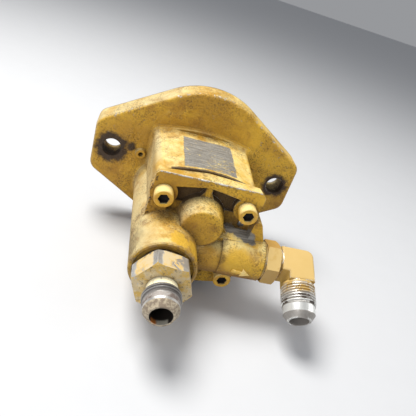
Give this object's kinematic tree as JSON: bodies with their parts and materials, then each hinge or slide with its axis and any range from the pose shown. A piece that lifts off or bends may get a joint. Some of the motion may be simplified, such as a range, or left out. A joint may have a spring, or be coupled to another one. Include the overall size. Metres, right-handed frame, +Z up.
{
  "type": "gear fuel pump",
  "caption": "Engine-driven gear pump for fuel on a two-bolt flange, with a straight flared inlet fitting, a flared outlet elbow, a drive tang and a relief valve.",
  "frame": {"origin": "centre of the flange's mounting face, on the axis of the drive shaft", "axes": "+Y out of the mounting face into the engine, along the drive shaft; X along the line of the two flange holes; +Z up, towards the crowned top of the body"},
  "size_m": [0.1593, 0.1768, 0.1162],
  "materials": {
    "painted_casting": "satin",
    "screw_steel": "satin",
    "fitting_steel": "satin",
    "hidden_steel": "satin",
    "bushing_bronze": "satin",
    "black_rubber": "matte",
    "seal_case": "matte"
  },
  "bodies": {
    "housing": {"pump_body": "painted_casting", "front_cover": "painted_casting", "cover_seal": "black_rubber", "cover_screws": "screw_steel", "dowel_pins": "hidden_steel", "idler_pin": "hidden_steel", "drive_bushing_front": "bushing_bronze", "drive_bushing_rear": "bushing_bronze", "fuel_seal": "seal_case", "oil_seal": "seal_case", "seal_retaining_ring": "hidden_steel", "pilot_o_ring": "black_rubber", "straight_fitting": "fitting_steel", "straight_fitting_o_ring": "black_rubber", "elbow_fitting": "fitting_steel", "elbow_lock_nut": "fitting_steel", "elbow_backup_washer": "fitting_steel", "elbow_o_ring": "black_rubber", "relief_spring": "hidden_steel", "relief_plug": "hidden_steel"},
    "drive": {"drive_shaft": "hidden_steel", "drive_gear": "hidden_steel", "gear_key": "hidden_steel"},
    "idler": {"idler_gear": "hidden_steel", "idler_bushing": "bushing_bronze"},
    "relief": {"relief_poppet": "hidden_steel"}
  },
  "joints": [
    {"name": "drive_spin", "type": "hinge", "parent": "housing", "child": "drive", "pos_m": [0, -0.0645, 0], "axis": [0, 1, 0], "continuous": true},
    {"name": "idler_spin", "type": "hinge", "parent": "housing", "child": "idler", "pos_m": [0, -0.0645, -0.02857], "axis": [0, 1, 0], "continuous": true},
    {"name": "relief_lift", "type": "slide", "parent": "housing", "child": "relief", "axis": [0, -1, 0], "range_m": [0, 0.003], "stiffness_N_per_m": 5000, "springref_m": -0.004, "deforming": ["relief_spring"]}
  ],
  "couplings": [
    {"joint": "idler_spin", "follows": "drive_spin", "ratio": -1}
  ]
}
